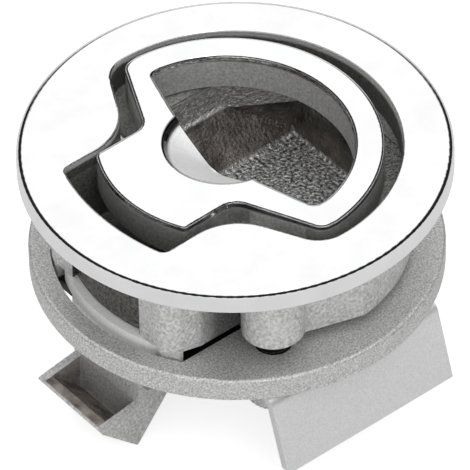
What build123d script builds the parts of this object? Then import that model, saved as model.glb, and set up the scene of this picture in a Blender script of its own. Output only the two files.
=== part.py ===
from build123d import *
import math
import os

# Flush pull latch for a round cut-out in a panel. Sizes in millimetres.
# +Z points out of the panel, +X towards the tongue. The origin is the centre of the
# flange's underside, which seats on the panel's face.

# General casting and fit values
wall = 1.3
gap = 0.3
pin_clearance = 0.05
press_clearance = 0.02
beyond = 1.0

# Flange
flange_r = 30.5
flange_rim = 3.36
crown_r = 600.0
rim_fillet = 1.2
lip_fillet = 0.35

# Opening in the flange: a round end for the grip ring and a tail, joined by curved necks
opening_clearance = 1.6
opening_x = 0.6
opening_shoulder_x = 3.75
opening_shoulder_fillet = 5.0
opening_neck_x = 10.55
opening_neck_fillet = 9.0
opening_tail_y = 11.15
opening_tail_end = 23.5
opening_tail_arc = 34.0
opening_corner_fillet = 1.3

# Depths below the panel's face
ledge_z = -1.5
ledge_depth_at_tail = 0.4
cup_depth = 13.3

# Cup of the housing, with a flat beside each front boss, and its tail block
cup_r = 24.8
cup_flat_start = (-2.5, 24.6)
cup_flat_end = (8.0, 21.3)
tail_block_side_x = 18.5
tail_block_side_y = 14.8
tail_block_corner_y = 13.5
tail_block_face = 23.5
tail_block_edge_y = 7.4
tail_block_recess_r = 23.9
tail_block_fillet = 3.0

# Finger pocket: straight sides, cut corners and sloping lower walls
pocket_end = 4.2
pocket_side_y = 15.4
pocket_corner_x = -9.7
pocket_left_x = -19.9
pocket_left_y = 9.0
pocket_slope_top = -6.0
pocket_floor_z = -12.0
pocket_floor_y = 9.0
pocket_floor_left = -18.2
pocket_fillet = 0.5

# Handle hinge and the well that the tail swings in
hinge_x = 9.0
hinge_z = -1.9
hinge_pin_r = 1.5
hinge_pin_blind_end = 16.0
hinge_pin_open_end = 21.2
open_angle = 19.0
well_back = pocket_end + 1.2
well_front = 21.8
well_floor_z = -9.0
well_floor_thick = 1.6

# Pull handle
handle_proud = 0.85
handle_bottom = ledge_z + gap
grip_r = 22.15
grip_x = 1.8
grip_arc_end = 95.0
grip_shoulder_x = 2.35
grip_shoulder_drop = 0.25
grip_shoulder_fillet = 2.3
neck_corner = (8.3, 9.75)
neck_fillet = 3.0
tail_r = 19.5
tail_corner_fillet = 1.0
grip_band = 3.95
hole_x = 2.0
hole_arc_end = 100.0
hole_shoulder_x = 0.6
hole_shoulder_drop = 0.3
hole_shoulder_fillet = 1.5
hole_end = (3.7, 8.2)
hole_end_fillet = 3.0
scoop_x = 1.9
scoop_rim_r = 8.6
scoop_wall_r = 7.9
scoop_wall_z = 3.5
scoop_floor_r = 2.0
scoop_floor_z = 0.4
scoop_fillet = 1.0
handle_edge_fillet = 0.6
knuckle_r = 2.6
knuckle_in = 5.2
knuckle_out = 9.5

# Nose under the tail, which presses the ramp of the bolt slide
nose_x = 16.8
nose_z = -4.2
nose_r = 1.4
nose_half = 3.6

# Backing ring
ring_r = 29.4
ring_top = -14.35
ring_thick = 3.4
ring_inner_r = 16.5
ring_slot_half = 14.8
ring_slot_r = 26.4
ring_rim_fillet = 0.6

# Ring screws with hex socket heads, one pair beside the hinge and one behind the pocket
front_screw = (9.6, 19.7)
rear_screw = (-10.4, 18.8)
screw_r = 2.45
screw_hole_r = 2.75
screw_head_r = 4.25
screw_head_height = 5.0
screw_length = 14.0
socket_across = 4.0
socket_depth = 2.6
boss_r = 4.5
boss_bottom = -11.6
rear_boss_r = 3.4
rear_boss_bottom = -13.0
tapped_r = screw_r + pin_clearance
tapped_top = -4.2

# Side plate, bent from sheet
sheet = 1.2
plate_half = 15.05
plate_inner_y = 15.9
plate_bend_y = 23.95
plate_bend_r = 1.0
plate_leg_angle = 72.5
plate_leg_length = 10.8
plate_corner_fillet = 1.0

# Bolt slide: wings on the guide strips, a body below them and a ramp post above
slide_top = -(cup_depth + gap)
wing_thick = 2.3
wing_half = 10.8
wing_back = 9.0
slide_nose_r = 25.1
wing_corner_fillet = 1.8
body_back = 2.0
body_half = 7.0
body_bottom = -17.5
post_back = 13.0
post_half = 4.0
post_top = -4.9
ramp_low = -10.2

# Tongue, a hollow wedge pinned on the slide's core
tongue_half = 7.25
tongue_back = 16.6
tongue_front = 23.9
rim_z = -27.3
tip = (30.8, -28.4)
heel = (24.3, -34.7)
rear_slope = 1.259
tongue_edge_fillet = 0.3
core_slack = 0.1
tongue_pin_x = 21.2
tongue_pin_z = -23.4
tongue_pin_r = 1.4
tongue_pin_bore = 0.8
tongue_pin_recess = 0.5
tongue_sink_r = 2.0

# Guide strips and feet
foot_in = wing_half + gap
foot_out = 14.2
front_foot = (21.2, 23.3)
rear_foot = (1.0, 10.0)
strip_thick = 1.5
strip_in = 7.9
strip_screw_xs = (3.2, 7.8)
strip_screw_r = 1.0
strip_screw_head_r = 1.9
strip_screw_length = 3.6

# Bolt springs and their rods
lug_back = -13.5
lug_front = -11.5
lug_half = 7.5
rod_y = 4.2
rod_r = 0.9
rod_reach = 1.6
spring_z = -15.6
bolt_spring_r = 1.35
bolt_spring_wire = 0.4
bolt_spring_turns = 10

# Handle return spring, a torsion coil on the hinge pin
return_spring_r = 2.1
return_spring_wire = 0.6
return_spring_turns = 6
return_spring_half = 3.0

# Worked out from the values above
ring_bottom = ring_top - ring_thick
wing_bottom = slide_top - wing_thick
strip_top = wing_bottom - gap
strip_bottom = strip_top - strip_thick
in_slot_r = ring_slot_r - gap
well_half = opening_tail_y
head_seat = ring_bottom - sheet
nose_radius_x = nose_x - hinge_x
nose_radius_z = nose_z - hinge_z
opened = math.radians(open_angle)
# The nose's way down and inwards over the handle's range, on a ramp of 45 degrees
travel = (
    (nose_radius_x + nose_radius_z) * (1 - math.cos(opened))
    + (nose_radius_x - nose_radius_z) * math.sin(opened)
)
# The ramp runs along x + z = ramp_sum, clear of the nose by the general gap
ramp_sum = nose_x + nose_z - (nose_r + gap) * math.sqrt(2)
post_front = ramp_sum - ramp_low
slot_back = post_back - travel - 2 * gap
slot_front = post_front + gap
slot_half = post_half + gap
front_screws = [(front_screw[0], side * front_screw[1]) for side in (1, -1)]
rear_screws = [(rear_screw[0], side * rear_screw[1]) for side in (1, -1)]
handle_disc_r = grip_r + beyond
# The opening and the finger hole keep their distance from the grip ring
opening_r = grip_r + opening_clearance
grip_shoulder = (grip_shoulder_x, grip_r - grip_shoulder_drop)
hole_r = grip_r - grip_band
hole_shoulder = (hole_shoulder_x, hole_r - hole_shoulder_drop)
plate_screws = [front_screws[0], rear_screws[0]]
washer_screws = [front_screws[1], rear_screws[1]]

os.makedirs("parts", exist_ok=True)


def finish(piece, name):
    piece.part.label = name
    export_step(piece.part, f"parts/{name}.step")


def crown_z(radius, proud):
    # Height of the shared crown above the panel's face at a radius
    return flange_rim + proud + math.sqrt(crown_r**2 - radius**2) - math.sqrt(crown_r**2 - flange_r**2)


def crowned_profile(radius, bottom, proud):
    # Half section of a disc with the shared crown, to be turned about Z
    top = crown_z(0, proud)
    sweep_angle = math.degrees(math.asin(radius / crown_r))
    with BuildSketch(Plane.XZ) as profile:
        with BuildLine():
            Line((0, bottom), (radius, bottom))
            Line((radius, bottom), (radius, crown_z(radius, proud)))
            CenterArc((0, top - crown_r), crown_r, 90 - sweep_angle, sweep_angle)
            Line((0, top), (0, bottom))
        make_face()
    return profile.sketch


def circles(piece, radius):
    # The circular edges of a piece that have a radius
    return piece.edges().filter_by(GeomType.CIRCLE).filter_by(lambda e: abs(e.radius - radius) < press_clearance)


def near(vertices, place):
    return vertices.sort_by_distance(Vector(place[0], place[1], 0))[0]


def opening_outline():
    # Outline of the opening in the flange
    shoulder = (opening_shoulder_x, opening_r)
    neck = (opening_neck_x, opening_tail_y)
    tail_centre = opening_tail_end - opening_tail_arc
    tail_angle = math.asin(opening_tail_y / opening_tail_arc)
    corner = (tail_centre + opening_tail_arc * math.cos(tail_angle), opening_tail_y)
    with BuildSketch() as outline:
        with BuildLine():
            CenterArc((opening_x, 0), opening_r, 90, 90)
            Polyline((opening_x, opening_r), shoulder, neck, corner)
            CenterArc((tail_centre, 0), opening_tail_arc, 0, math.degrees(tail_angle))
            Line((opening_tail_end, 0), (opening_x - opening_r, 0))
        make_face()
        fillet(near(outline.vertices(), shoulder), opening_shoulder_fillet)
        fillet(near(outline.vertices(), neck), opening_neck_fillet)
        fillet(near(outline.vertices(), corner), opening_corner_fillet)
        mirror(about=Plane.XZ)
    return outline.sketch


def handle_outline():
    # Outer outline of the pull handle: grip ring, necks and tail
    arc_end = math.radians(grip_arc_end)
    arc_point = (grip_x + grip_r * math.cos(arc_end), grip_r * math.sin(arc_end))
    tail_angle = math.asin(neck_corner[1] / tail_r)
    corner = (tail_r * math.cos(tail_angle), neck_corner[1])
    with BuildSketch() as outline:
        with BuildLine():
            CenterArc((grip_x, 0), grip_r, grip_arc_end, 180 - grip_arc_end)
            Polyline(arc_point, grip_shoulder, neck_corner, corner)
            CenterArc((0, 0), tail_r, 0, math.degrees(tail_angle))
            Line((tail_r, 0), (grip_x - grip_r, 0))
        make_face()
        fillet(near(outline.vertices(), grip_shoulder), grip_shoulder_fillet)
        fillet(near(outline.vertices(), neck_corner), neck_fillet)
        fillet(near(outline.vertices(), corner), tail_corner_fillet)
        mirror(about=Plane.XZ)
    return outline.sketch


def finger_hole_outline():
    # The hole in the grip ring
    arc_end = math.radians(hole_arc_end)
    arc_point = (hole_x + hole_r * math.cos(arc_end), hole_r * math.sin(arc_end))
    with BuildSketch() as outline:
        with BuildLine():
            CenterArc((hole_x, 0), hole_r, hole_arc_end, 180 - hole_arc_end)
            Polyline(arc_point, hole_shoulder, hole_end, (hole_end[0], 0))
            Line((hole_end[0], 0), (hole_x - hole_r, 0))
        make_face()
        fillet(near(outline.vertices(), hole_shoulder), hole_shoulder_fillet)
        fillet(near(outline.vertices(), hole_end), hole_end_fillet)
        mirror(about=Plane.XZ)
    return outline.sketch


def mirrored_polygon(points):
    # A polygon from its points on the +Y side and its mirror image about the XZ plane
    with BuildSketch() as outline:
        with BuildLine():
            Polyline(*points, close=True)
        make_face()
        mirror(about=Plane.XZ)
    return outline.sketch


def pocket_outline():
    return mirrored_polygon([
        (pocket_left_x, 0),
        (pocket_left_x, pocket_left_y),
        (pocket_corner_x, pocket_side_y),
        (pocket_end, pocket_side_y),
        (pocket_end, 0),
    ])


def finger_pocket():
    # The pocket's space: plan outline, then the sloping walls cut what is below
    with BuildPart() as space:
        with BuildSketch(Plane.XY.offset(pocket_floor_z)):
            add(pocket_outline())
        extrude(amount=flange_rim - pocket_floor_z)
        with BuildSketch(Plane.YZ):
            with BuildLine():
                Polyline(
                    (-pocket_side_y, beyond + flange_rim),
                    (-pocket_side_y, pocket_slope_top),
                    (-pocket_floor_y, pocket_floor_z),
                    (pocket_floor_y, pocket_floor_z),
                    (pocket_side_y, pocket_slope_top),
                    (pocket_side_y, beyond + flange_rim),
                    close=True,
                )
            make_face()
        extrude(amount=flange_r, both=True, mode=Mode.INTERSECT)
        with BuildSketch(Plane.XZ):
            with BuildLine():
                Polyline(
                    (pocket_left_x, beyond + flange_rim),
                    (pocket_left_x, pocket_slope_top),
                    (pocket_floor_left, pocket_floor_z),
                    (pocket_end, pocket_floor_z),
                    (pocket_end, beyond + flange_rim),
                    close=True,
                )
            make_face()
        extrude(amount=flange_r, both=True, mode=Mode.INTERSECT)
        fillet(space.edges().filter_by(lambda e: e.center().Z < ledge_z - wall), pocket_fillet)
    return space.part


# Housing: flange, cup, tail block, bosses, feet and spring lug in one casting
pocket_space = finger_pocket()
with BuildPart() as housing:
    add(crowned_profile(flange_r, 0, 0))
    revolve(axis=Axis.Z)
    fillet(circles(housing, flange_r).group_by(Axis.Z)[-1], rim_fillet)
    with BuildSketch():
        Circle(cup_r)
        add(mirrored_polygon([
            (cup_flat_start[0], flange_r),
            cup_flat_start,
            cup_flat_end,
            (cup_flat_end[0], tail_block_side_y),
            (flange_r, tail_block_side_y),
            (flange_r, flange_r),
        ]), mode=Mode.SUBTRACT)
        with Locations((tail_block_side_x, 0)):
            Rectangle(flange_r, 2 * flange_r, align=(Align.MIN, Align.CENTER), mode=Mode.SUBTRACT)
    extrude(amount=-cup_depth)
    # Wall round the handle's opening, under the flange
    with BuildSketch():
        add(opening_outline())
        offset(amount=wall)
    extrude(amount=ledge_z - wall)
    with BuildSketch() as block:
        add(mirrored_polygon([
            (cup_flat_end[0], 0),
            (cup_flat_end[0], tail_block_side_y),
            (tail_block_side_x, tail_block_side_y),
            (tail_block_face, tail_block_corner_y),
            (tail_block_face, tail_block_edge_y),
            (tail_block_side_x, tail_block_edge_y),
            (tail_block_side_x, 0),
        ]))
        round_places = [
            (x, side * y)
            for x, y in ((tail_block_side_x, tail_block_side_y), (tail_block_face, tail_block_corner_y))
            for side in (1, -1)
        ]
        fillet([near(block.vertices(), place) for place in round_places], tail_block_fillet)
    extrude(amount=-cup_depth)
    # The block's front between its two corners is round, over the slide's nose
    with BuildSketch():
        Circle(tail_block_recess_r)
        with Locations((tail_block_side_x - tail_block_fillet, 0)):
            Rectangle(
                tail_block_recess_r, 2 * tail_block_edge_y, align=(Align.MIN, Align.CENTER), mode=Mode.INTERSECT
            )
    extrude(amount=-cup_depth)
    with BuildSketch():
        with Locations(*front_screws):
            Circle(boss_r)
    extrude(amount=boss_bottom)
    with BuildSketch():
        with Locations(*rear_screws):
            Circle(rear_boss_r)
    extrude(amount=rear_boss_bottom)
    # Webs round the hinge pin, between the tail block and the front bosses
    with BuildSketch():
        for side in (1, -1):
            with Locations((hinge_x, side * (tail_block_side_y + front_screw[1]) / 2)):
                Rectangle(2 * (hinge_pin_r + wall), front_screw[1] - tail_block_side_y)
    extrude(amount=hinge_z - hinge_pin_r - wall)
    # Feet under the tail block and beside the slide, and the lug behind the springs
    with BuildSketch(Plane.XY.offset(-cup_depth)):
        for side in (1, -1):
            for back, front in (front_foot, rear_foot):
                with Locations(((back + front) / 2, side * (foot_in + foot_out) / 2)):
                    Rectangle(front - back, foot_out - foot_in)
        Circle(in_slot_r, mode=Mode.INTERSECT)
    extrude(amount=strip_top + cup_depth)
    with BuildSketch(Plane.XY.offset(-cup_depth)):
        with Locations(((lug_back + lug_front) / 2, 0)):
            Rectangle(lug_front - lug_back, 2 * lug_half)
    extrude(amount=body_bottom + cup_depth)
    # Opening for the handle, down to the ledge
    with BuildSketch(Plane.XY.offset(ledge_depth_at_tail)):
        add(opening_outline())
    extrude(amount=crown_z(0, beyond), mode=Mode.SUBTRACT)
    with BuildSketch(Plane.XY.offset(ledge_z)):
        add(opening_outline())
        with Locations((well_front + flange_r, 0)):
            Rectangle(2 * flange_r, 2 * flange_r, mode=Mode.SUBTRACT)
    extrude(amount=ledge_depth_at_tail - ledge_z, mode=Mode.SUBTRACT)
    add(pocket_space, mode=Mode.SUBTRACT)
    # Well for the tail, open below through a slot for the ramp post
    with BuildSketch(Plane.XY.offset(well_floor_z)):
        with Locations(((well_back + well_front) / 2, 0)):
            Rectangle(well_front - well_back, 2 * well_half)
    extrude(amount=ledge_z - well_floor_z, mode=Mode.SUBTRACT)
    with BuildSketch(Plane.XY.offset(-cup_depth)):
        with Locations(((slot_back + slot_front) / 2, 0)):
            Rectangle(slot_front - slot_back, 2 * slot_half)
    extrude(amount=well_floor_z + cup_depth, mode=Mode.SUBTRACT)
    with BuildSketch(Plane.XY.offset(-cup_depth)):
        with Locations(((slot_back + front_foot[0]) / 2, 0)):
            Rectangle(front_foot[0] - slot_back, 2 * (wing_half - wall))
    extrude(amount=well_floor_z - well_floor_thick + cup_depth, mode=Mode.SUBTRACT)
    # Tapped holes for the ring screws
    with BuildSketch(Plane.XY.offset(-cup_depth)):
        with Locations(*front_screws, *rear_screws):
            Circle(tapped_r)
    extrude(amount=tapped_top + cup_depth, mode=Mode.SUBTRACT)
    # Bore for the hinge pin, blind at the +Y end
    with BuildSketch(Plane.XZ.offset(-(hinge_pin_blind_end + gap))):
        with Locations((hinge_x, hinge_z)):
            Circle(hinge_pin_r + press_clearance)
    extrude(amount=hinge_pin_blind_end + gap + flange_r, mode=Mode.SUBTRACT)
    fillet(housing.edges().filter_by(lambda e: e.center().Z > crown_z(cup_r, 0)), lip_fillet)
    # Holes for the strip screws and the spring rods
    with BuildSketch(Plane.XY.offset(strip_top)):
        with Locations(*[(x, s * (foot_in + foot_out) / 2) for x in strip_screw_xs for s in (1, -1)]):
            Circle(strip_screw_r + press_clearance)
    extrude(amount=strip_screw_length, mode=Mode.SUBTRACT)
    with BuildSketch(Plane.YZ.offset(lug_back)):
        with Locations(*[(s * rod_y, spring_z) for s in (1, -1)]):
            Circle(rod_r + press_clearance)
    extrude(amount=lug_front - lug_back, mode=Mode.SUBTRACT)
finish(housing, "housing")

# Pull handle: crowned top, finger hole, thumb scoop, hinge knuckles and nose
scoop_top = crown_z(0, handle_proud) + beyond
scoop_rim_z = crown_z(scoop_rim_r, handle_proud)
scoop_wall_run = (scoop_rim_r - scoop_wall_r) / (scoop_rim_z - scoop_wall_z)
with BuildPart() as pull_handle:
    add(crowned_profile(handle_disc_r, handle_bottom, handle_proud))
    revolve(axis=Axis.Z)
    with BuildSketch(Plane.XY.offset(handle_bottom)):
        add(handle_outline())
        add(finger_hole_outline(), mode=Mode.SUBTRACT)
    extrude(amount=crown_z(0, handle_proud) - handle_bottom + beyond, mode=Mode.INTERSECT)
    with BuildSketch(Plane.XZ) as scoop:
        with BuildLine():
            Polyline(
                (scoop_x, scoop_floor_z),
                (scoop_x + scoop_floor_r, scoop_floor_z),
                (scoop_x + scoop_wall_r, scoop_wall_z),
                (scoop_x + scoop_rim_r + (scoop_top - scoop_rim_z) * scoop_wall_run, scoop_top),
                (scoop_x, scoop_top),
                close=True,
            )
        make_face()
        fillet(scoop.vertices().sort_by_distance((scoop_x + scoop_wall_r, 0, scoop_wall_z))[0], scoop_fillet)
    revolve(axis=Axis((scoop_x, 0, 0), (0, 0, 1)), mode=Mode.SUBTRACT)
    top_edges = pull_handle.faces().filter_by(GeomType.SPHERE).sort_by(Axis.Z)[-1].edges()
    fillet(top_edges.filter_by(lambda e: e.center().Z > crown_z(handle_disc_r, 0)), handle_edge_fillet)
    for side in (1, -1):
        with BuildSketch(Plane.XZ.offset(-side * knuckle_in)):
            with Locations((hinge_x, hinge_z)):
                Circle(knuckle_r)
                Rectangle(2 * knuckle_r, handle_bottom - hinge_z + gap, align=(Align.CENTER, Align.MIN))
        extrude(amount=-side * (knuckle_out - knuckle_in))
    with BuildSketch(Plane.XZ):
        with Locations((nose_x, nose_z)):
            Circle(nose_r)
            Rectangle(2 * nose_r, handle_bottom - nose_z + gap, align=(Align.CENTER, Align.MIN))
    extrude(amount=nose_half, both=True)
    with BuildSketch(Plane.XZ):
        with Locations((hinge_x, hinge_z)):
            Circle(hinge_pin_r + pin_clearance)
    extrude(amount=grip_r, both=True, mode=Mode.SUBTRACT)
    # Room for the coil of the return spring between the knuckles
    with BuildSketch(Plane.XZ):
        with Locations((hinge_x, hinge_z)):
            Circle(return_spring_r + return_spring_wire)
    extrude(amount=knuckle_in, both=True, mode=Mode.SUBTRACT)
finish(pull_handle, "pull_handle")

# Hinge pin, held in the housing
with BuildPart() as hinge_pin:
    with BuildSketch(Plane.XZ.offset(-hinge_pin_blind_end)):
        with Locations((hinge_x, hinge_z)):
            Circle(hinge_pin_r)
    extrude(amount=hinge_pin_blind_end + hinge_pin_open_end)
    chamfer(hinge_pin.edges().filter_by(GeomType.CIRCLE), gap)
finish(hinge_pin, "hinge_pin")

# Return spring of the handle: turns round the pin, with one leg against the nose
# and the other against the back wall of the well. Both leave the coil at its bottom.
return_pitch = 2 * return_spring_half / return_spring_turns
return_turns = [
    Plane(origin=(hinge_x, turn * return_pitch - return_spring_half, hinge_z), x_dir=(0, 0, -1), z_dir=(0, 1, 0))
    * Helix(pitch=return_pitch, height=return_pitch, radius=return_spring_r)
    for turn in range(return_spring_turns)
]
nose_leg = nose_x - nose_r - hinge_x - return_spring_wire
wall_leg = hinge_x - well_back - return_spring_wire
with BuildPart() as return_spring:
    for turn in return_turns:
        with BuildSketch(Plane(origin=turn @ 0, z_dir=turn % 0)):
            Circle(return_spring_wire / 2)
        sweep(path=turn)
    for turn, end, way, leg in ((return_turns[0], 0, -1, nose_leg), (return_turns[-1], 1, 1, wall_leg)):
        with BuildSketch(Plane(origin=turn @ end, z_dir=(turn % end) * way)):
            Circle(return_spring_wire / 2)
        extrude(amount=leg)
finish(return_spring, "return_spring")

# Backing ring: a flat ring with a keyhole opening for the bolt
with BuildPart() as backing_ring:
    with BuildSketch(Plane.XY.offset(ring_bottom)):
        Circle(ring_r)
        Circle(ring_inner_r, mode=Mode.SUBTRACT)
        with Locations(*front_screws, *rear_screws):
            Circle(screw_hole_r, mode=Mode.SUBTRACT)
    extrude(amount=ring_thick)
    fillet(circles(backing_ring, ring_r).group_by(Axis.Z)[-1], ring_rim_fillet)
    with BuildSketch(Plane.XY.offset(ring_bottom)):
        Circle(ring_slot_r)
        Rectangle(ring_slot_r, 2 * ring_slot_half, align=(Align.MIN, Align.CENTER), mode=Mode.INTERSECT)
    extrude(amount=ring_thick, mode=Mode.SUBTRACT)
finish(backing_ring, "backing_ring")

# Ring screws with hex sockets, reached from behind
for number, place in enumerate(front_screws + rear_screws, start=1):
    with BuildPart() as ring_screw:
        with BuildSketch(Plane((place[0], place[1], head_seat))):
            Circle(screw_head_r)
        extrude(amount=-screw_head_height)
        chamfer(ring_screw.edges().group_by(Axis.Z)[0], gap)
        with BuildSketch(Plane((place[0], place[1], head_seat - screw_head_height))):
            RegularPolygon(socket_across / 2, 6, major_radius=False)
        extrude(amount=socket_depth, mode=Mode.SUBTRACT)
        with BuildSketch(Plane((place[0], place[1], head_seat))):
            Circle(screw_r)
        extrude(amount=screw_length)
        chamfer(ring_screw.edges().group_by(Axis.Z)[-1], gap)
    finish(ring_screw, f"ring_screw_{number}")

# Washers under the two screws that don't hold the side plate, as thick as its sheet
for number, place in enumerate(washer_screws, start=1):
    with BuildPart() as ring_washer:
        with BuildSketch(Plane((place[0], place[1], head_seat))):
            Circle(screw_head_r + gap)
            Circle(screw_hole_r, mode=Mode.SUBTRACT)
        extrude(amount=sheet)
    finish(ring_washer, f"ring_washer_{number}")

# Side plate: a flange under the ring, a bend and a leg that leans outwards
leg_angle = math.radians(plate_leg_angle)
bend_outer = plate_bend_r + sheet
bend_centre = (plate_bend_y, ring_bottom - bend_outer)


def bend_point(radius, run):
    # A point on the section: round the bend at a radius, then a run down the leg
    return (
        bend_centre[0] + radius * math.sin(leg_angle) + run * math.cos(leg_angle),
        bend_centre[1] + radius * math.cos(leg_angle) - run * math.sin(leg_angle),
    )


with BuildPart() as side_plate:
    with BuildSketch(Plane.YZ):
        with BuildLine():
            Line((plate_inner_y, ring_bottom), (plate_bend_y, ring_bottom))
            CenterArc(bend_centre, bend_outer, 90, -plate_leg_angle)
            Polyline(
                bend_point(bend_outer, 0),
                bend_point(bend_outer, plate_leg_length),
                bend_point(plate_bend_r, plate_leg_length),
                bend_point(plate_bend_r, 0),
            )
            CenterArc(bend_centre, plate_bend_r, 90 - plate_leg_angle, plate_leg_angle)
            Polyline(
                (plate_bend_y, head_seat),
                (plate_inner_y, head_seat),
                (plate_inner_y, ring_bottom),
            )
        make_face()
    extrude(amount=plate_half, both=True)
    # Only the lower corner towards the tongue is rounded
    lower_corners = side_plate.edges().filter_by(GeomType.LINE).filter_by(
        lambda e: abs(e.length - sheet) < press_clearance
    ).group_by(Axis.Z)[0]
    fillet(lower_corners.sort_by(Axis.X)[-1], plate_corner_fillet)
    with BuildSketch(Plane.XY.offset(head_seat)):
        with Locations(*plate_screws):
            Circle(screw_hole_r)
    extrude(amount=sheet, mode=Mode.SUBTRACT)
finish(side_plate, "side_plate")

# Bolt slide: wings, spring body, ramp post and the core that carries the tongue
core_back = tongue_back + wall + core_slack
core_front = tongue_front - wall - core_slack
core_half = tongue_half - wall - core_slack


def rear_edge_z(x, inset):
    # Height of the tongue's slanted rear edge at x, moved in by a perpendicular inset
    return heel[1] + (heel[0] - x) * rear_slope + inset * math.hypot(1, rear_slope)


with BuildPart() as bolt_slide:
    with BuildSketch(Plane.XY.offset(wing_bottom)) as wings:
        Circle(slide_nose_r)
        with Locations((wing_back, 0)):
            Rectangle(slide_nose_r, 2 * wing_half, align=(Align.MIN, Align.CENTER), mode=Mode.INTERSECT)
        fillet(wings.vertices().group_by(Axis.X)[-1], wing_corner_fillet)
    extrude(amount=wing_thick)
    with BuildSketch(Plane.XY.offset(body_bottom)):
        with Locations((body_back, 0)):
            Rectangle(tongue_back - body_back, 2 * body_half, align=(Align.MIN, Align.CENTER))
    extrude(amount=slide_top - body_bottom)
    with BuildSketch(Plane.XZ):
        with BuildLine():
            Polyline(
                (post_back, slide_top),
                (post_back, post_top),
                (ramp_sum - post_top, post_top),
                (post_front, ramp_low),
                (post_front, slide_top),
                close=True,
            )
        make_face()
    extrude(amount=post_half, both=True)
    with BuildSketch(Plane.XZ):
        with BuildLine():
            Polyline(
                (core_back, wing_bottom),
                (core_front, wing_bottom),
                (core_front, rear_edge_z(core_front, wall + core_slack)),
                (core_back, rear_edge_z(core_back, wall + core_slack)),
                close=True,
            )
        make_face()
    extrude(amount=core_half, both=True)
    with BuildSketch(Plane.XZ):
        with Locations((tongue_pin_x, tongue_pin_z)):
            Circle(tongue_pin_r + press_clearance)
    extrude(amount=tongue_half, both=True, mode=Mode.SUBTRACT)
    with BuildSketch(Plane.YZ.offset(body_back)):
        with Locations(*[(s * rod_y, spring_z) for s in (1, -1)]):
            Circle(rod_r + 2 * pin_clearance)
    extrude(amount=travel + rod_reach + 2 * gap, mode=Mode.SUBTRACT)
finish(bolt_slide, "bolt_slide")

# Tongue: hollow wedge with an open pocket in front of the stem and a cavity for the core
with BuildPart() as tongue:
    with BuildSketch(Plane.XZ) as wedge:
        with BuildLine():
            Polyline(
                (tongue_back, wing_bottom),
                (tongue_front, wing_bottom),
                (tongue_front, rim_z),
                tip,
                heel,
                (tongue_back, rear_edge_z(tongue_back, 0)),
                close=True,
            )
        make_face()
    extrude(amount=tongue_half, both=True)
    outer_edges = tongue.edges().filter_by(Axis.Y)
    fillet(outer_edges.filter_by(lambda e: e.center().Z < tip[1] + gap), tongue_edge_fillet)
    # Pocket in front of the stem, with walls of the casting's thickness
    bevel_x = heel[0] - tip[0]
    bevel_z = heel[1] - tip[1]
    bevel_length = math.hypot(bevel_x, bevel_z)
    rim_slope = (tip[1] - rim_z) / (tip[0] - tongue_front)
    floor_shift = wall * bevel_length / abs(bevel_z)
    pocket_low_z = heel[1] + (tongue_front + floor_shift - heel[0]) * bevel_z / bevel_x
    pocket_far_x = tip[0] - floor_shift
    with BuildSketch(Plane.XZ):
        with BuildLine():
            Polyline(
                (tongue_front, rim_z + beyond),
                (tongue_front, pocket_low_z),
                (pocket_far_x, rim_z + rim_slope * (pocket_far_x - tongue_front)),
                (pocket_far_x + beyond, rim_z + beyond),
                close=True,
            )
        make_face()
    extrude(amount=tongue_half - wall, both=True, mode=Mode.SUBTRACT)
    with BuildSketch(Plane.XZ):
        with BuildLine():
            Polyline(
                (tongue_back + wall, wing_bottom),
                (tongue_front - wall, wing_bottom),
                (tongue_front - wall, rear_edge_z(tongue_front - wall, wall)),
                (tongue_back + wall, rear_edge_z(tongue_back + wall, wall)),
                close=True,
            )
        make_face()
    extrude(amount=tongue_half - wall, both=True, mode=Mode.SUBTRACT)
    with BuildSketch(Plane.XZ):
        with Locations((tongue_pin_x, tongue_pin_z)):
            Circle(tongue_pin_r + press_clearance)
    extrude(amount=tongue_half, both=True, mode=Mode.SUBTRACT)
    pin_mouths = circles(tongue, tongue_pin_r + press_clearance).group_by(Axis.Y)
    chamfer(pin_mouths[0] + pin_mouths[-1], tongue_sink_r - tongue_pin_r)
finish(tongue, "tongue")

# Hollow cross pin of the tongue, a little below the cheeks
with BuildPart() as tongue_pin:
    with BuildSketch(Plane.XZ):
        with Locations((tongue_pin_x, tongue_pin_z)):
            Circle(tongue_pin_r)
            Circle(tongue_pin_bore, mode=Mode.SUBTRACT)
    extrude(amount=tongue_half - tongue_pin_recess, both=True)
finish(tongue_pin, "tongue_pin")

# Guide strips under the slide's wings, and their countersunk screws
for side, word in ((1, "left"), (-1, "right")):
    with BuildPart() as guide_strip:
        with BuildSketch(Plane.XY.offset(strip_bottom)):
            with Locations(((rear_foot[0] + front_foot[1]) / 2, side * (strip_in + foot_out) / 2)):
                Rectangle(front_foot[1] - rear_foot[0], foot_out - strip_in)
            Circle(in_slot_r, mode=Mode.INTERSECT)
        extrude(amount=strip_thick)
        with Locations(*[
            Location((x, side * (foot_in + foot_out) / 2, strip_bottom), (180, 0, 0)) for x in strip_screw_xs
        ]):
            CounterSinkHole(strip_screw_r + pin_clearance, strip_screw_head_r + pin_clearance, strip_thick)
    finish(guide_strip, f"guide_strip_{word}")
    for number, x in enumerate(strip_screw_xs, start=1):
        centre_y = side * (foot_in + foot_out) / 2
        with BuildPart() as strip_screw:
            with BuildSketch(Plane.XZ.offset(-centre_y)):
                with BuildLine():
                    Polyline(
                        (x, strip_bottom),
                        (x + strip_screw_head_r, strip_bottom),
                        (x + strip_screw_r, strip_bottom + strip_screw_head_r - strip_screw_r),
                        (x + strip_screw_r, strip_bottom + strip_screw_length),
                        (x, strip_bottom + strip_screw_length),
                        close=True,
                    )
                make_face()
            revolve(axis=Axis((x, centre_y, 0), (0, 0, 1)))
        finish(strip_screw, f"strip_screw_{word}_{number}")

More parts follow.
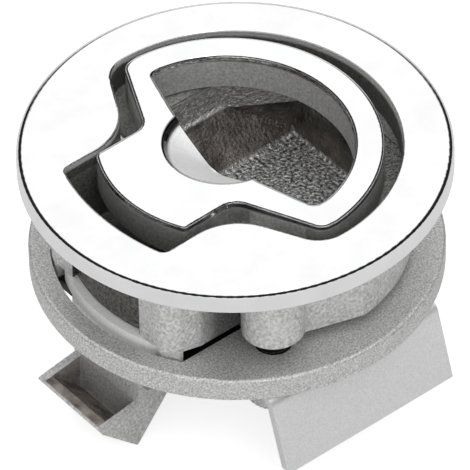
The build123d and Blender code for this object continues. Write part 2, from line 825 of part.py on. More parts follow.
# Rods fixed in the lug, and the bolt springs round them
for side, word in ((1, "left"), (-1, "right")):
    with BuildPart() as spring_rod:
        with BuildSketch(Plane.YZ.offset(lug_back)):
            with Locations((side * rod_y, spring_z)):
                Circle(rod_r)
        extrude(amount=body_back + rod_reach - lug_back)
    finish(spring_rod, f"spring_rod_{word}")
    spring_length = body_back - lug_front - bolt_spring_wire
    spring_coil = Plane(
        origin=(lug_front + bolt_spring_wire / 2, side * rod_y, spring_z), z_dir=(1, 0, 0)
    ) * Helix(
        pitch=spring_length / bolt_spring_turns,
        height=spring_length,
        radius=bolt_spring_r,
    )
    with BuildPart() as bolt_spring:
        with BuildSketch(Plane(origin=spring_coil @ 0, z_dir=spring_coil % 0)):
            Circle(bolt_spring_wire / 2)
        sweep(path=spring_coil)
    finish(bolt_spring, f"bolt_spring_{word}")
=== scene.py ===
import math

import bmesh
import bpy
from mathutils import Matrix, Vector


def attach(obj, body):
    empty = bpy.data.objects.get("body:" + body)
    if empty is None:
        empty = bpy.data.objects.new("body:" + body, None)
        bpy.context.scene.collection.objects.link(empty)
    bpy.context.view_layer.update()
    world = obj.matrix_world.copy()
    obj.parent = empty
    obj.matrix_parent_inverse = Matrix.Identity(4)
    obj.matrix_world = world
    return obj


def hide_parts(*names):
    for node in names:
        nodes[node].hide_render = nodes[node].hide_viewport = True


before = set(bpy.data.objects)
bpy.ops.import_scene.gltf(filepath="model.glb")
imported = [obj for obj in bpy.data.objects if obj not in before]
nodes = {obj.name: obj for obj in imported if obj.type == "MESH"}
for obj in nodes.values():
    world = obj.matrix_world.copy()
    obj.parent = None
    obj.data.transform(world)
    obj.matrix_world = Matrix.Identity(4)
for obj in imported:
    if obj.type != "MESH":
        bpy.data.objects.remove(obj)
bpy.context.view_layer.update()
mm = 0.001
print("latch frame:", len(nodes), "nodes")


def hexColour(text):  # sRGB hex to linear
    values = [int(text[i:i + 2], 16) / 255 for i in (1, 3, 5)]
    linear = [v / 12.92 if v <= 0.04045 else ((v + 0.055) / 1.055) ** 2.4 for v in values]
    return (*linear, 1.0)


def addNode(tree, kind, settings=None, links=None):
    # settings are node properties or, where the name is a socket's, its value; links go into sockets
    node = tree.nodes.new(kind)
    for name, value in (settings or {}).items():
        if isinstance(name, int) or name in node.inputs:
            node.inputs[name].default_value = value
        else:
            setattr(node, name, value)
    for name, source in (links or {}).items():
        tree.links.new(source, node.inputs[name])
    return node


# camera: a long lens, as in product pictures
camera = {"azimuth": 141.5, "elevation": 43.19, "roll": 0.020, "distance": 920.16 * mm,
          "side": 0.068 * mm, "rise": 10.318 * mm, "lens": 506.4, "sensor": 36.0}


def placeCamera(s):
    a, e = math.radians(s["azimuth"]), math.radians(s["elevation"])
    back = Vector((math.sin(a) * math.cos(e), -math.cos(a) * math.cos(e), math.sin(e)))
    right = Vector((0, 0, 1)).cross(back).normalized()
    up = back.cross(right)
    c, d = math.cos(s["roll"]), math.sin(s["roll"])
    right, up = right * c - up * d, right * d + up * c
    data = bpy.data.cameras.new("camera")
    data.lens, data.sensor_width = s["lens"], s["sensor"]
    data.clip_start, data.clip_end = 0.05, 20.0
    obj = bpy.data.objects.new("camera", data)
    turn = Matrix((right, up, back)).transposed()
    stand = back * s["distance"] - right * s["side"] - up * s["rise"]
    obj.matrix_world = Matrix.Translation(stand) @ turn.to_4x4()
    bpy.context.scene.collection.objects.link(obj)
    bpy.context.scene.camera = obj


placeCamera(camera)
bpy.context.scene.view_settings.view_transform = "Standard"
print("camera placed")

# studio: white sweep, bright dome and a dark horizon that the mirror faces show
studio = {"floorHeight": -34.9 * mm, "floorSize": 3.0, "floorColour": "#cfcfcf",
          "background": 1.0, "floorGlow": 0.74, "floorMirrorGlow": 0.12,
          "domeStrength": 1.12, "horizon": 0.02, "farHorizon": 0.80,
          "domeStart": 0.44, "domeEnd": 0.58,
          "viewerSide": (0.6225, 0.7826, 0.0), "farBand": (-0.97, -0.86),
          "keySize": 0.35, "keyPower": 1.2, "keyFrom": (0.25, 0.75, 0.95),
          "fillSize": 0.9, "fillPower": 7.0, "fillFrom": (0.75, 0.75, 0.10)}


def makeWorld(s):
    world = bpy.data.worlds.new("studio")
    bpy.context.scene.world = world
    world.use_nodes = True
    tree = world.node_tree
    tree.nodes.clear()
    direction = addNode(tree, "ShaderNodeTexCoord").outputs["Generated"]
    parts = addNode(tree, "ShaderNodeSeparateXYZ", links={0: direction})
    dome = addNode(tree, "ShaderNodeMapRange",
                   {"interpolation_type": "SMOOTHSTEP", "From Min": s["domeStart"], "From Max": s["domeEnd"]},
                   {"Value": parts.outputs["Z"]})
    toViewer = addNode(tree, "ShaderNodeVectorMath",
                       {"operation": "DOT_PRODUCT", 1: s["viewerSide"]}, {0: direction})
    band = addNode(tree, "ShaderNodeMapRange",
                   {"interpolation_type": "SMOOTHSTEP",
                    "From Min": s["farBand"][0], "From Max": s["farBand"][1],
                    "To Min": s["farHorizon"], "To Max": s["horizon"]}, {"Value": toViewer.outputs["Value"]})
    level = addNode(tree, "ShaderNodeMix", {"data_type": "FLOAT", "B": s["domeStrength"]},
                    {"Factor": dome.outputs["Result"], "A": band.outputs["Result"]})
    ray = addNode(tree, "ShaderNodeLightPath")
    strength = addNode(tree, "ShaderNodeMix", {"data_type": "FLOAT", "B": s["background"]},
                       {"Factor": ray.outputs["Is Camera Ray"], "A": level.outputs["Result"]})
    glow = addNode(tree, "ShaderNodeBackground", {"Color": hexColour("#ffffff")},
                   {"Strength": strength.outputs["Result"]})
    addNode(tree, "ShaderNodeOutputWorld", links={"Surface": glow.outputs[0]})


def makeFloor(s):
    bm = bmesh.new()
    bmesh.ops.create_grid(bm, x_segments=1, y_segments=1, size=s["floorSize"])
    bmesh.ops.translate(bm, verts=bm.verts, vec=(0, 0, s["floorHeight"]))
    mesh = bpy.data.meshes.new("floor")
    bm.to_mesh(mesh)
    bm.free()
    floor = bpy.data.objects.new("floor", mesh)
    bpy.context.scene.collection.objects.link(floor)
    paper = bpy.data.materials.new("matt paper sweep")
    paper.use_nodes = True
    tree = paper.node_tree
    tree.nodes.clear()
    ray = addNode(tree, "ShaderNodeLightPath")
    seen = addNode(tree, "ShaderNodeMath", {"operation": "MULTIPLY", 1: s["floorGlow"]},
                   {0: ray.outputs["Is Camera Ray"]})
    mirrored = addNode(tree, "ShaderNodeMath", {"operation": "MULTIPLY_ADD", 1: s["floorMirrorGlow"]},
                       {0: ray.outputs["Is Glossy Ray"], 2: seen.outputs[0]})
    matt = addNode(tree, "ShaderNodeBsdfDiffuse", {"Color": hexColour(s["floorColour"])})
    glow = addNode(tree, "ShaderNodeEmission", {"Color": hexColour("#ffffff")},
                   {"Strength": mirrored.outputs[0]})
    lit = addNode(tree, "ShaderNodeAddShader", links={0: matt.outputs[0], 1: glow.outputs[0]})
    # the sweep is clear from below, so that the latch's underside can be seen
    side = addNode(tree, "ShaderNodeNewGeometry")
    clear = addNode(tree, "ShaderNodeBsdfTransparent")
    paperOrClear = addNode(tree, "ShaderNodeMixShader",
                           links={0: side.outputs["Backfacing"], 1: lit.outputs[0], 2: clear.outputs[0]})
    addNode(tree, "ShaderNodeOutputMaterial", links={"Surface": paperOrClear.outputs[0]})
    mesh.materials.append(paper)


def makeSoftbox(name, size, power, place, mirrored):
    data = bpy.data.lights.new(name, "AREA")
    data.shape, data.size, data.energy = "SQUARE", size, power
    obj = bpy.data.objects.new(name, data)
    obj.location = place
    obj.visible_glossy = mirrored
    obj.rotation_mode = "QUATERNION"
    obj.rotation_quaternion = Vector(place).to_track_quat("Z", "Y")
    bpy.context.scene.collection.objects.link(obj)


makeWorld(studio)
makeFloor(studio)
makeSoftbox("key softbox", studio["keySize"], studio["keyPower"], studio["keyFrom"], True)
makeSoftbox("front fill", studio["fillSize"], studio["fillPower"], studio["fillFrom"], False)
print("studio lit")


# masks and finishes
def startMaterial(name, metal=1.0):
    material = bpy.data.materials.new(name)
    material.use_nodes = True
    tree = material.node_tree
    tree.nodes.clear()
    place = addNode(tree, "ShaderNodeTexCoord").outputs["Object"]
    shader = addNode(tree, "ShaderNodeBsdfPrincipled", {"Metallic": metal})
    addNode(tree, "ShaderNodeOutputMaterial", links={"Surface": shader.outputs[0]})
    return material, tree, place, shader


def insideBox(tree, place, low, high, blend=0.1 * mm):
    # 1 inside a box of the part, 0 outside it
    centre = [(a + b) / 2 * mm for a, b in zip(low, high)]
    half = [(b - a) / 2 * mm for a, b in zip(low, high)]
    moved = addNode(tree, "ShaderNodeVectorMath", {"operation": "SUBTRACT", 1: centre}, {0: place})
    size = addNode(tree, "ShaderNodeVectorMath", {"operation": "ABSOLUTE"}, {0: moved.outputs[0]})
    out = addNode(tree, "ShaderNodeVectorMath", {"operation": "SUBTRACT", 1: half}, {0: size.outputs[0]})
    parts = addNode(tree, "ShaderNodeSeparateXYZ", links={0: out.outputs[0]})
    most = addNode(tree, "ShaderNodeMath", {"operation": "MAXIMUM"},
                   {0: parts.outputs[0], 1: parts.outputs[1]})
    most = addNode(tree, "ShaderNodeMath", {"operation": "MAXIMUM"},
                   {0: most.outputs[0], 1: parts.outputs[2]})
    return addNode(tree, "ShaderNodeMapRange", {"From Min": blend, "From Max": -blend},
                   {"Value": most.outputs[0]}).outputs["Result"]


def insideRound(tree, place, centreX, radius, blend=0.1 * mm):
    # 1 inside an upright cylinder whose axis stands at centreX
    flat = addNode(tree, "ShaderNodeVectorMath",
                   {"operation": "MULTIPLY_ADD", 1: (1, 1, 0), 2: (-centreX * mm, 0, 0)}, {0: place})
    far = addNode(tree, "ShaderNodeVectorMath", {"operation": "LENGTH"}, {0: flat.outputs["Vector"]})
    return addNode(tree, "ShaderNodeMapRange",
                   {"From Min": radius * mm + blend, "From Max": radius * mm - blend},
                   {"Value": far.outputs["Value"]}).outputs["Result"]


def both(tree, one, other):
    return addNode(tree, "ShaderNodeMath", {"operation": "MULTIPLY"}, {0: one, 1: other}).outputs[0]


def above(tree, place, low, high):
    parts = addNode(tree, "ShaderNodeSeparateXYZ", links={0: place})
    return addNode(tree, "ShaderNodeMapRange", {"From Min": low * mm, "From Max": high * mm},
                   {"Value": parts.outputs["Z"]}).outputs["Result"]


def layer(tree, under, over, mask):
    # one colour over another where the mask is 1
    return addNode(tree, "ShaderNodeMix", {"data_type": "RGBA", "clamp_factor": True},
                   {"Factor": mask, "A": under, "B": over}).outputs["Result"]


def layerValue(tree, under, over, mask):
    node = addNode(tree, "ShaderNodeMix", {"data_type": "FLOAT", "clamp_factor": True}, {"Factor": mask})
    for name, value in (("A", under), ("B", over)):
        if isinstance(value, float):
            node.inputs[name].default_value = value
        else:
            tree.links.new(value, node.inputs[name])
    return node.outputs["Result"]


def mottled(tree, fac, dark, light, low=0.32, high=0.68):
    ramp = addNode(tree, "ShaderNodeValToRGB", links={"Fac": fac})
    for stop, position, colour in zip(ramp.color_ramp.elements, (low, high), (dark, light)):
        stop.position, stop.color = position, hexColour(colour)
    return ramp.outputs["Color"]


# 316 stainless, investment cast: a mirror where the wheel reached, the shell's sandy skin elsewhere
housingFinish = {"mirror": ("#efeff0", "#f6f6f6"), "lip": ("#f2f2f2", "#fbfbfb"),
                 "outside": ("#bcbcbb", "#ffffff"), "wall": ("#a19f9d", "#ffffff"),
                 "slope": ("#3d3936", "#938d87"), "floor": ("#33312f", "#ffffff"),
                 # painted highlight: the pale colour of the band along the pocket's crease
                 "edge": ("#d2d0ce", "#f0efee"), "gap": ("#5a5958", "#858382"),
                 # painted shade: the dark colours of the tail well and of the recess over the slide
                 "well": ("#7f7e7d", "#a8a7a6"), "shadedRecess": ("#24221f", "#8f8b86"),
                 # painted shade: the near-black of the tail block's side walls
                 "shade": ("#161514", "#383736"),
                 "mirrorRough": 0.035, "lipRough": 0.30, "outsideRough": 0.36, "pocketRough": 0.20,
                 "gapRough": 0.45, "recessRough": 0.20, "metal": 0.55, "pocketMetal": 0.8,
                 "grain": 0.46 * mm, "grainDepth": 0.36 * mm, "cloud": 5 * mm,
                 "pebble": 0.50 * mm, "pebbleDepth": 0.36 * mm,
                 "wheelWave": 9.0 * mm, "wheelWaveDepth": 0.004 * mm}
# where each finish lies, in mm of the part: heights, radii, and boxes as low corner, high corner, soft edge
housingZones = {"openingR": 24.6, "hollowR": 23.9, "outer": (-0.05, 0.02), "lip": (2.4, 3.0),
                "top": (3.36, 3.46), "gapAbove": (-1.7, -1.4),
                "pocket": ((-20.3, -15.8, -12.8), (4.5, 15.8, -1.3)),
                "slope": ((-20.3, -15.8, -11.7), (4.5, 15.8, -6.2), 0.25 * mm),
                "floor": ((-20.0, -10.5, -12.8), (4.5, 10.5, -11.7), 0.3 * mm),
                # a band along the crease between the pocket's walls and slopes, painted as a highlight
                "edge": ((-20.3, -15.8, -6.35), (4.5, 15.8, -5.85), 0.12 * mm),
                # the tail well, coloured darker than the skin as painted shade
                "well": ((4.6, -11.4, -9.6), (22.0, 11.4, 1.0)),
                # the recess over the slide, coloured dark as painted shade
                "shadedRecess": ((17.0, -7.5, -13.6), (25.3, 7.5, -0.1)),
                # the tail block's side walls, darker towards the back as painted shade
                "shadedBlockSides": [((4.0, 14.0 * side - 2.4, -17.0), (17.0, 14.0 * side + 2.4, -2.0), 2.6 * mm)
                               for side in (1, -1)]}


def paintHousing(s, zone):
    material, tree, place, shader = startMaterial("investment cast stainless, buffed flange")
    fine = addNode(tree, "ShaderNodeTexNoise", {"Scale": 1 / s["grain"], "Detail": 4.0, "Roughness": 0.62},
                   {"Vector": place}).outputs["Fac"]
    broad = addNode(tree, "ShaderNodeTexNoise", {"Scale": 1 / s["cloud"], "Detail": 3.0},
                    {"Vector": place}).outputs["Fac"]
    pebble = addNode(tree, "ShaderNodeTexNoise", {"Scale": 1 / s["pebble"], "Detail": 2.0},
                     {"Vector": place}).outputs["Fac"]
    wave = addNode(tree, "ShaderNodeTexNoise", {"Scale": 1 / s["wheelWave"], "Detail": 1.0},
                   {"Vector": place}).outputs["Fac"]
    opening = insideRound(tree, place, 0.0, zone["openingR"])
    buffed = layerValue(tree, above(tree, place, *zone["outer"]), above(tree, place, *zone["lip"]), opening)
    mirror = layerValue(tree, above(tree, place, *zone["outer"]), above(tree, place, *zone["top"]), opening)
    # the pocket's boxes are cut round, so that their corners don't come through the cup
    hollow = insideRound(tree, place, 0.0, zone["hollowR"])
    pocket = both(tree, hollow, insideBox(tree, place, *zone["pocket"]))
    slope = both(tree, hollow, insideBox(tree, place, *zone["slope"]))
    floor = insideBox(tree, place, *zone["floor"])
    edge = both(tree, hollow, insideBox(tree, place, *zone["edge"]))
    # the walls of the opening round the handle: painted shade, coloured dark
    gap = both(tree, opening, above(tree, place, *zone["gapAbove"]))
    well = insideBox(tree, place, *zone["well"])
    shadedRecess = insideBox(tree, place, *zone["shadedRecess"])
    colour = mottled(tree, fine, *s["outside"])
    # painted shade on the tail block's side walls
    for box in zone["shadedBlockSides"]:
        colour = layer(tree, colour, mottled(tree, fine, *s["shade"]), insideBox(tree, place, *box))
    colour = layer(tree, colour, mottled(tree, fine, *s["wall"]), pocket)
    colour = layer(tree, colour, mottled(tree, broad, *s["slope"]), slope)
    colour = layer(tree, colour, mottled(tree, pebble, *s["floor"]), floor)
    # painted highlight along the pocket's crease
    colour = layer(tree, colour, mottled(tree, fine, *s["edge"]), edge)
    # painted shade on the opening's walls
    colour = layer(tree, colour, mottled(tree, fine, *s["gap"]), gap)
    # painted shade in the tail well
    colour = layer(tree, colour, mottled(tree, fine, *s["well"]), well)
    # painted shade in the recess over the slide
    colour = layer(tree, colour, mottled(tree, fine, *s["shadedRecess"]), shadedRecess)
    colour = layer(tree, colour, mottled(tree, broad, *s["lip"]), buffed)
    colour = layer(tree, colour, mottled(tree, broad, *s["mirror"]), mirror)
    rough = layerValue(tree, s["outsideRough"], s["pocketRough"], pocket)
    rough = layerValue(tree, rough, s["gapRough"], gap)
    rough = layerValue(tree, rough, s["recessRough"], shadedRecess)
    rough = layerValue(tree, rough, s["lipRough"], buffed)
    rough = layerValue(tree, rough, s["mirrorRough"], mirror)
    cast = addNode(tree, "ShaderNodeMath", {"operation": "SUBTRACT", 0: 1.0}, {1: buffed}).outputs[0]
    skin = addNode(tree, "ShaderNodeMath", {"operation": "MULTIPLY"}, {0: fine, 1: cast}).outputs[0]
    skinBump = addNode(tree, "ShaderNodeBump", {"Strength": 0.9, "Distance": s["grainDepth"]},
                       {"Height": skin})
    lump = addNode(tree, "ShaderNodeMath", {"operation": "MULTIPLY"}, {0: pebble, 1: pocket}).outputs[0]
    lumpBump = addNode(tree, "ShaderNodeBump", {"Strength": 1.0, "Distance": s["pebbleDepth"]},
                       {"Height": lump, "Normal": skinBump.outputs[0]})
    waveBump = addNode(tree, "ShaderNodeBump", {"Strength": 1.0, "Distance": s["wheelWaveDepth"]},
                       {"Height": wave, "Normal": lumpBump.outputs[0]})
    metal = layerValue(tree, s["metal"], s["pocketMetal"], pocket)
    metal = layerValue(tree, metal, 1.0, shadedRecess)
    metal = layerValue(tree, metal, 1.0, mirror)
    tree.links.new(metal, shader.inputs["Metallic"])
    tree.links.new(colour, shader.inputs["Base Color"])
    tree.links.new(rough, shader.inputs["Roughness"])
    tree.links.new(waveBump.outputs[0], shader.inputs["Normal"])
    nodes["housing"].data.materials.clear()
    nodes["housing"].data.materials.append(material)


# the same casting; its hole and scoop were only linished, its outer walls left as cast and coloured darker
# still, as painted shade in the gap round the handle
handleFinish = {"mirror": ("#efeff0", "#f6f6f6"), "wall": ("#858483", "#adacab"),
                "hole": ("#a9a9a8", "#dcdcdb"), "scoop": ("#fbfbfb", "#ffffff"),
                # painted shade: the dark colour of the scoop's wall
                "scoopWallShade": ("#3c3c3c", "#565656"), "metal": 0.5,
                "mirrorRough": 0.035, "wallRough": 0.5, "holeRough": 0.38, "scoopRough": 0.42,
                "grain": 0.40 * mm, "grainDepth": 0.06 * mm, "cloud": 8 * mm,
                "wheelWave": 7.0 * mm, "wheelWaveDepth": 0.004 * mm}
# rounds are given as the axis' x and the radius, in mm of the part
handleZones = {"mirror": (3.2, 3.7), "hole": (2.0, 19.6), "tail": ((4.6, -12.0, -8.0), (24.0, 12.0, 6.0)),
               "scoop": (1.9, 8.75), "scoopFloor": (1.9, 7.95, 0.15 * mm)}


def paintHandle(s, zone):
    material, tree, place, shader = startMaterial("investment cast stainless, buffed handle")
    fine = addNode(tree, "ShaderNodeTexNoise", {"Scale": 1 / s["grain"], "Detail": 4.0, "Roughness": 0.6},
                   {"Vector": place}).outputs["Fac"]
    broad = addNode(tree, "ShaderNodeTexNoise", {"Scale": 1 / s["cloud"], "Detail": 2.0},
                    {"Vector": place}).outputs["Fac"]
    wave = addNode(tree, "ShaderNodeTexNoise", {"Scale": 1 / s["wheelWave"], "Detail": 1.0},
                   {"Vector": place}).outputs["Fac"]
    mirror = above(tree, place, *zone["mirror"])
    hole = insideRound(tree, place, *zone["hole"])
    shadedTailSide = insideBox(tree, place, *zone["tail"])
    dish = insideRound(tree, place, *zone["scoop"])
    dishFloor = insideRound(tree, place, *zone["scoopFloor"])
    colour = mottled(tree, fine, *s["wall"])
    colour = layer(tree, colour, mottled(tree, fine, *s["hole"]), hole)
    # painted shade: the tail's sides take the darker wall colour
    colour = layer(tree, colour, mottled(tree, fine, *s["wall"]), shadedTailSide)
    colour = layer(tree, colour, mottled(tree, broad, *s["mirror"]), mirror)
    # painted shade on the scoop's wall
    colour = layer(tree, colour, mottled(tree, broad, *s["scoopWallShade"]), dish)
    colour = layer(tree, colour, mottled(tree, fine, *s["scoop"]), dishFloor)
    rough = layerValue(tree, s["wallRough"], s["holeRough"], hole)
    rough = layerValue(tree, rough, s["mirrorRough"], mirror)
    rough = layerValue(tree, rough, s["scoopRough"], dishFloor)
    cast = addNode(tree, "ShaderNodeMath", {"operation": "SUBTRACT", 0: 1.0}, {1: mirror}).outputs[0]
    skin = addNode(tree, "ShaderNodeMath", {"operation": "MULTIPLY"}, {0: fine, 1: cast}).outputs[0]
    skinBump = addNode(tree, "ShaderNodeBump", {"Strength": 1.0, "Distance": s["grainDepth"]},
                       {"Height": skin})
    waveBump = addNode(tree, "ShaderNodeBump", {"Strength": 1.0, "Distance": s["wheelWaveDepth"]},
                       {"Height": wave, "Normal": skinBump.outputs[0]})
    metal = layerValue(tree, s["metal"], 1.0, mirror)
    metal = layerValue(tree, metal, s["metal"], dishFloor)
    tree.links.new(metal, shader.inputs["Metallic"])
    tree.links.new(colour, shader.inputs["Base Color"])
    tree.links.new(rough, shader.inputs["Roughness"])
    tree.links.new(waveBump.outputs[0], shader.inputs["Normal"])
    nodes["pull_handle"].data.materials.clear()
    nodes["pull_handle"].data.materials.append(material)


paintHousing(housingFinish, housingZones)
paintHandle(handleFinish, handleZones)

# bead-blasted stainless casting: fine even grain that breaks up every reflection
blastedFinish = {"dark": "#9f9f9e", "light": "#f4f4f3", "metal": 0.6, "rough": 0.46,
                 "grain": 0.26 * mm, "grainDepth": 0.07 * mm}
slideFinish = {"dark": "#eeeeed", "light": "#ffffff", "metal": 0.12, "rough": 0.42,
               "grain": 0.35 * mm, "grainDepth": 0.05 * mm}
# stainless sheet with the mill's satin finish, and turned or drawn stainless with fine tool marks
sheetFinish = {"dark": "#dadada", "light": "#ececec", "metal": 0.55, "rough": 0.36,
               "grain": 0.30 * mm, "grainDepth": 0.015 * mm}
turnedFinish = {"dark": "#b9b9b8", "light": "#d8d8d7", "metal": 1.0, "rough": 0.25,
                "grain": 0.35 * mm, "grainDepth": 0.012 * mm}
wireFinish = {"dark": "#8a8987", "light": "#b5b4b2", "metal": 1.0, "rough": 0.30,
              "grain": 0.25 * mm, "grainDepth": 0.012 * mm}
# strips blackened in hot oxide, so that the wings slide on them without galling
blackFinish = {"dark": "#1d1d1d", "light": "#2c2b2a", "metal": 0.6, "rough": 0.45,
               "grain": 0.30 * mm, "grainDepth": 0.02 * mm}
patchy = {"cloud": 6 * mm, "roughSpread": 0.06}  # slow change of gloss over every grained piece


def paintGrained(name, s, painted):
    material, tree, place, shader = startMaterial(name, s["metal"])
    fine = addNode(tree, "ShaderNodeTexNoise", {"Scale": 1 / s["grain"], "Detail": 3.0, "Roughness": 0.65},
                   {"Vector": place}).outputs["Fac"]
    broad = addNode(tree, "ShaderNodeTexNoise", {"Scale": 1 / patchy["cloud"], "Detail": 2.0},
                    {"Vector": place}).outputs["Fac"]
    spread = patchy["roughSpread"]
    rough = addNode(tree, "ShaderNodeMapRange", {"To Min": s["rough"] - spread, "To Max": s["rough"] + spread},
                    {"Value": broad})
    bump = addNode(tree, "ShaderNodeBump", {"Strength": 1.0, "Distance": s["grainDepth"]}, {"Height": fine})
    tree.links.new(mottled(tree, fine, s["dark"], s["light"]), shader.inputs["Base Color"])
    tree.links.new(rough.outputs["Result"], shader.inputs["Roughness"])
    tree.links.new(bump.outputs[0], shader.inputs["Normal"])
    for node in painted:
        nodes[node].data.materials.clear()
        nodes[node].data.materials.append(material)
    return material


paintGrained("bead-blasted stainless", blastedFinish, ["backing_ring"])
paintGrained("satin stainless sheet", sheetFinish, ["side_plate", "ring_washer_1", "ring_washer_2"])
paintGrained("black oxide steel", blackFinish, ["guide_strip_left", "guide_strip_right"])
paintGrained("drawn spring wire", wireFinish, [n for n in nodes if "spring" in n and "rod" not in n])
paintGrained("turned stainless", turnedFinish,
             [n for n in nodes if "screw" in n or "pin" in n or "rod" in n])

# ring screws: bright heads, and threads painted dark, as the shade under the bosses
screwFinish = {"head": ("#b9b9b8", "#d8d8d7"), "thread": ("#232221", "#5f5e5c"), "threadAbove": (-18.9, -18.8),
               "rough": 0.24, "grain": 0.35 * mm, "grainDepth": 0.012 * mm}


def makeScrewFinish(s):
    material, tree, place, shader = startMaterial("turned screw, its thread painted dark as shade")
    fine = addNode(tree, "ShaderNodeTexNoise", {"Scale": 1 / s["grain"], "Detail": 3.0},
                   {"Vector": place}).outputs["Fac"]
    thread = above(tree, place, *s["threadAbove"])
    bump = addNode(tree, "ShaderNodeBump", {"Strength": 1.0, "Distance": s["grainDepth"]}, {"Height": fine})
    # painted shade: the thread is coloured dark above the head
    colour = layer(tree, mottled(tree, fine, *s["head"]), mottled(tree, fine, *s["thread"]), thread)
    tree.links.new(colour, shader.inputs["Base Color"])
    tree.links.new(bump.outputs[0], shader.inputs["Normal"])
    shader.inputs["Roughness"].default_value = s["rough"]
    return material


threadShadeFinish = makeScrewFinish(screwFinish)

# the slide is ground pale where it shows in the ring's slot, and painted dark behind, as the shade that falls
# there
slidePaint = {"slideShade": "#3a3937", "slideShadeZone": ((-5.0, -12.0, -30.0), (21.6, 12.0, 0.0), 0.4 * mm)}


def paintSlide(s, base):
    material = paintGrained("blasted stainless slide", base, ["bolt_slide"])
    tree = material.node_tree
    shader = next(n for n in tree.nodes if n.type == "BSDF_PRINCIPLED")
    place = next(n for n in tree.nodes if n.type == "TEX_COORD").outputs["Object"]
    pale = shader.inputs["Base Color"].links[0].from_socket
    # painted shade over the slide behind the slot
    behind = insideBox(tree, place, *s["slideShadeZone"])
    slideShade = addNode(tree, "ShaderNodeMix", {"data_type": "RGBA", "B": hexColour(s["slideShade"])},
                    {"Factor": behind, "A": pale})
    tree.links.new(slideShade.outputs["Result"], shader.inputs["Base Color"])


paintSlide(slidePaint, slideFinish)

# raw stainless casting: sandy skin outside, scale and brown heat tint left in the hollow
tongueFinish = {"skin": ("#b9b9b8", "#ffffff"), "hollow": ("#3a322d", "#b5aba2"),
                "hollowZone": ((24.0, -5.98, -34.0), (30.2, 5.98, -27.2), 0.15 * mm),
                "metal": 0.6, "rough": 0.32, "hollowRough": 0.24,
                "grain": 0.42 * mm, "grainDepth": 0.34 * mm, "cloud": 2.5 * mm}


def paintTongue(s):
    material, tree, place, shader = startMaterial("raw cast stainless tongue", s["metal"])
    fine = addNode(tree, "ShaderNodeTexNoise", {"Scale": 1 / s["grain"], "Detail": 4.0, "Roughness": 0.65},
                   {"Vector": place}).outputs["Fac"]
    broad = addNode(tree, "ShaderNodeTexNoise", {"Scale": 1 / s["cloud"], "Detail": 3.0},
                    {"Vector": place}).outputs["Fac"]
    hollow = insideBox(tree, place, *s["hollowZone"])
    colour = layer(tree, mottled(tree, fine, *s["skin"]), mottled(tree, broad, *s["hollow"]), hollow)
    rough = layerValue(tree, s["rough"], s["hollowRough"], hollow)
    bump = addNode(tree, "ShaderNodeBump", {"Strength": 1.0, "Distance": s["grainDepth"]}, {"Height": fine})
    tree.links.new(colour, shader.inputs["Base Color"])
    tree.links.new(rough, shader.inputs["Roughness"])
    tree.links.new(bump.outputs[0], shader.inputs["Normal"])
    nodes["tongue"].data.materials.clear()
    nodes["tongue"].data.materials.append(material)


paintTongue(tongueFinish)
print("finishes made")

# ring screws: M5 socket heads with knurled sides and a real thread, sizes in mm
ringScrew = {"shankR": 2.45, "rootR": 2.02, "pitch": 0.8, "flank": (0.32, 0.52, 0.84), "threadSteps": 24,
             "headR": 4.25, "headHigh": 5.0, "headTop": -18.95, "length": 14.0, "plainEnd": 0.4,
             "tipTaper": 0.35, "coreLap": 0.02, "coreSides": 24, "knurls": 36, "knurlDeep": 0.12,
             "bevel": (0.45, 0.35),
             "socket": 4.0, "socketRim": 0.5, "socketDeep": 2.6,
             "places": {"ring_screw_1": (9.6, 19.7), "ring_screw_2": (9.6, -19.7),
                        "ring_screw_3": (-10.4, 18.8), "ring_screw_4": (-10.4, -18.8)}}


def spinThread(bm, s):  # one V of the thread, spun up the helix
    rise, crest, fall = (f * s["pitch"] for f in s["flank"])
    turns = int((s["length"] - s["plainEnd"]) / s["pitch"]) - 1
    outline = ((s["rootR"], 0.0), (s["shankR"], rise), (s["shankR"], crest), (s["rootR"], fall),
               (s["rootR"], s["pitch"]))
    profile = [bm.verts.new((r, 0, z)) for r, z in outline]
    edges = [bm.edges.new(pair) for pair in zip(profile, profile[1:])]
    bmesh.ops.spin(bm, geom=profile + edges, axis=(0, 0, 1), cent=(0, 0, 0),
                   dvec=(0, 0, s["pitch"] / s["threadSteps"]), angle=math.tau * turns,
                   steps=s["threadSteps"] * turns, use_merge=False)
    bmesh.ops.remove_doubles(bm, verts=bm.verts, dist=0.01)
    # core that closes the thread at both ends
    core = bmesh.ops.create_cone(bm, cap_ends=True, segments=s["coreSides"], radius1=s["rootR"] + s["coreLap"],
                                 radius2=s["rootR"] - s["tipTaper"], depth=s["length"] + s["plainEnd"])
    bmesh.ops.translate(bm, verts=core["verts"], vec=(0, 0, (s["length"] - s["plainEnd"]) / 2))


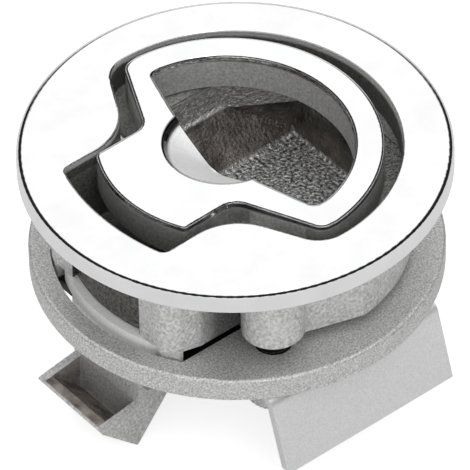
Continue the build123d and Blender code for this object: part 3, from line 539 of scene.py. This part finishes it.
def knurlHead(bm, s):  # a drum with every second edge pressed in; gives back its lower face
    drum = bmesh.ops.create_cone(bm, cap_ends=True, segments=2 * s["knurls"], radius1=s["headR"],
                                 radius2=s["headR"], depth=s["headHigh"])
    bmesh.ops.translate(bm, verts=drum["verts"], vec=(0, 0, -s["headHigh"] / 2))
    pressed = 1 - s["knurlDeep"] / s["headR"]
    for v in drum["verts"]:
        if round(math.atan2(v.co.y, v.co.x) / math.tau * 2 * s["knurls"]) % 2:
            v.co.x, v.co.y = v.co.x * pressed, v.co.y * pressed
    ends = [f for f in bm.faces if len(f.verts) == 2 * s["knurls"]]
    return min(ends, key=lambda f: f.calc_center_median().z)


def sinkSocket(bm, low, s):  # bevelled rim, then the inset floor pulled to a hexagon and pushed in
    width, height = s["bevel"]
    inner = bmesh.ops.inset_region(bm, faces=[low], thickness=width, depth=0.0)
    for v in low.verts:
        v.co.z = -s["headHigh"]
    for face in inner["faces"]:
        for v in face.verts:
            if v not in low.verts:
                v.co.z += height
    bmesh.ops.inset_region(bm, faces=[low], thickness=s["socketRim"], depth=0.0)
    for v in low.verts:
        angle = math.atan2(v.co.y, v.co.x)
        side = (angle + math.pi / 6) % (math.pi / 3) - math.pi / 6
        reach = s["socket"] / 2 / math.cos(side)
        v.co.x, v.co.y = reach * math.cos(angle), reach * math.sin(angle)
    sunk = bmesh.ops.extrude_face_region(bm, geom=[low])
    bmesh.ops.delete(bm, geom=[low], context="FACES_ONLY")
    floorVerts = [v for v in sunk["geom"] if isinstance(v, bmesh.types.BMVert)]
    bmesh.ops.translate(bm, verts=floorVerts, vec=(0, 0, s["socketDeep"]))


def makeRingScrew(name, place, s):
    bm = bmesh.new()
    spinThread(bm, s)
    sinkSocket(bm, knurlHead(bm, s), s)
    bmesh.ops.translate(bm, verts=bm.verts, vec=(*place, s["headTop"]))
    bmesh.ops.scale(bm, verts=bm.verts, vec=(mm, mm, mm))
    bmesh.ops.recalc_face_normals(bm, faces=bm.faces)
    mesh = bpy.data.meshes.new(name + "_threaded")
    bm.to_mesh(mesh)
    bm.free()
    screw = bpy.data.objects.new(name + "_threaded", mesh)
    bpy.context.scene.collection.objects.link(screw)
    mesh.materials.append(threadShadeFinish)
    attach(screw, "housing")
    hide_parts(name)


for name, place in ringScrew["places"].items():
    makeRingScrew(name, place, ringScrew)
print("ring screws threaded")
